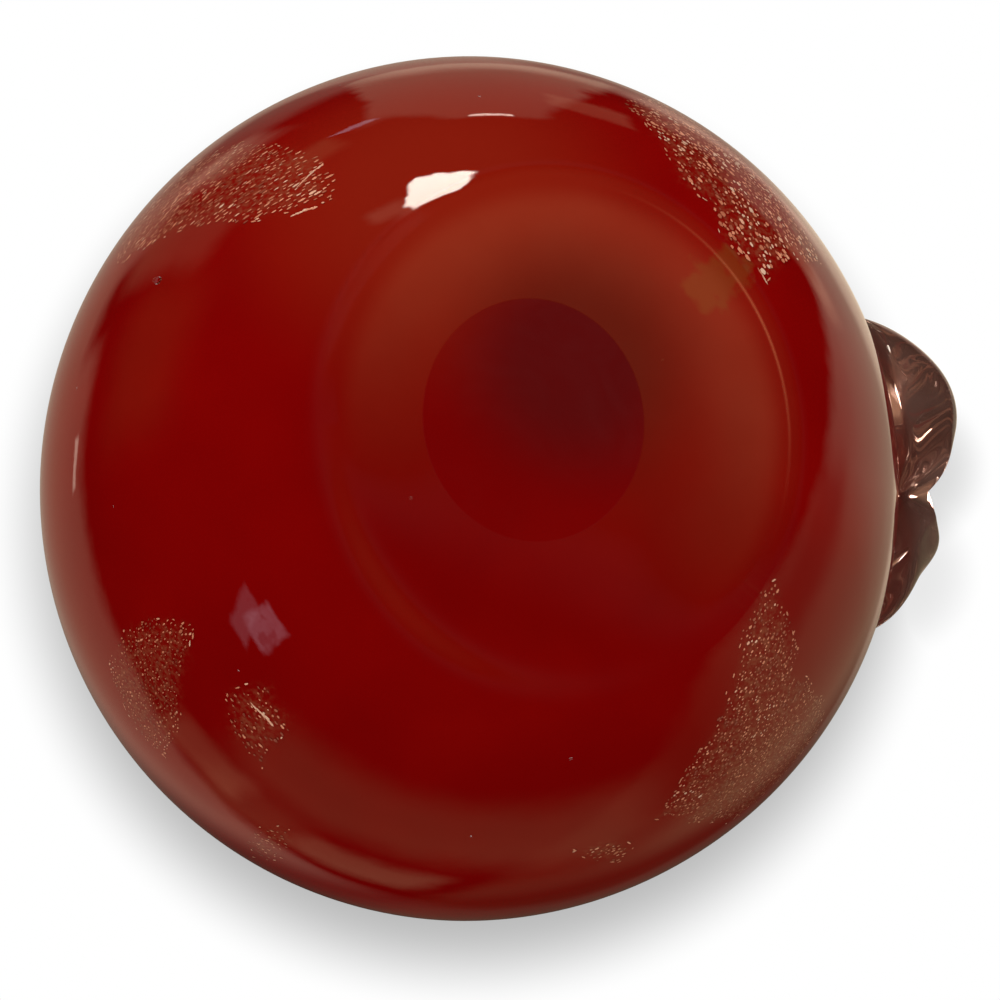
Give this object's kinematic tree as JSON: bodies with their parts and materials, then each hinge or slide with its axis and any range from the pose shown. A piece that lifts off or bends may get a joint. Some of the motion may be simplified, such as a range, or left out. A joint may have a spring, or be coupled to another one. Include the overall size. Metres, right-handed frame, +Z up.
{
  "type": "art glass apple",
  "caption": "Blown glass apple ornament: a ruby bubble with crackled gold leaf in a thick clear casing, on a ground flat base, with a fused stem and a pressed leaf over its shoulder.",
  "frame": {"origin": "middle of the ground base on the axis of the body, in the plane that the apple rests on", "axes": "+Z up the axis of the body to the stem hollow, +X towards the leaf on the shoulder, +Y to the left of the leaf seen from above"},
  "size_m": [0.126, 0.115, 0.1235],
  "materials": {
    "ruby_glass": "deep red glass, seen through the casing",
    "clear_glass": "fire-polished, with a ground base",
    "plum_glass": "fire-polished smoky glass",
    "gold_leaf": "crackled leaf"
  },
  "bodies": {
    "root": {"ruby_bubble": "ruby_glass", "clear_casing": "clear_glass", "stem": "plum_glass", "leaf": "plum_glass", "gold_leaf_front_left": "gold_leaf", "gold_leaf_front_right": "gold_leaf", "gold_leaf_rear_right": "gold_leaf", "gold_leaf_rear_low": "gold_leaf", "gold_leaf_left_side": "gold_leaf", "gold_leaf_rear_left": "gold_leaf", "gold_leaf_rear_small": "gold_leaf", "gold_leaf_shoulder_front": "gold_leaf", "gold_leaf_shoulder_right": "gold_leaf", "gold_leaf_shoulder_rear": "gold_leaf", "gold_leaf_shoulder_left": "gold_leaf", "gold_leaf_crest": "gold_leaf"}
  },
  "joints": []
}
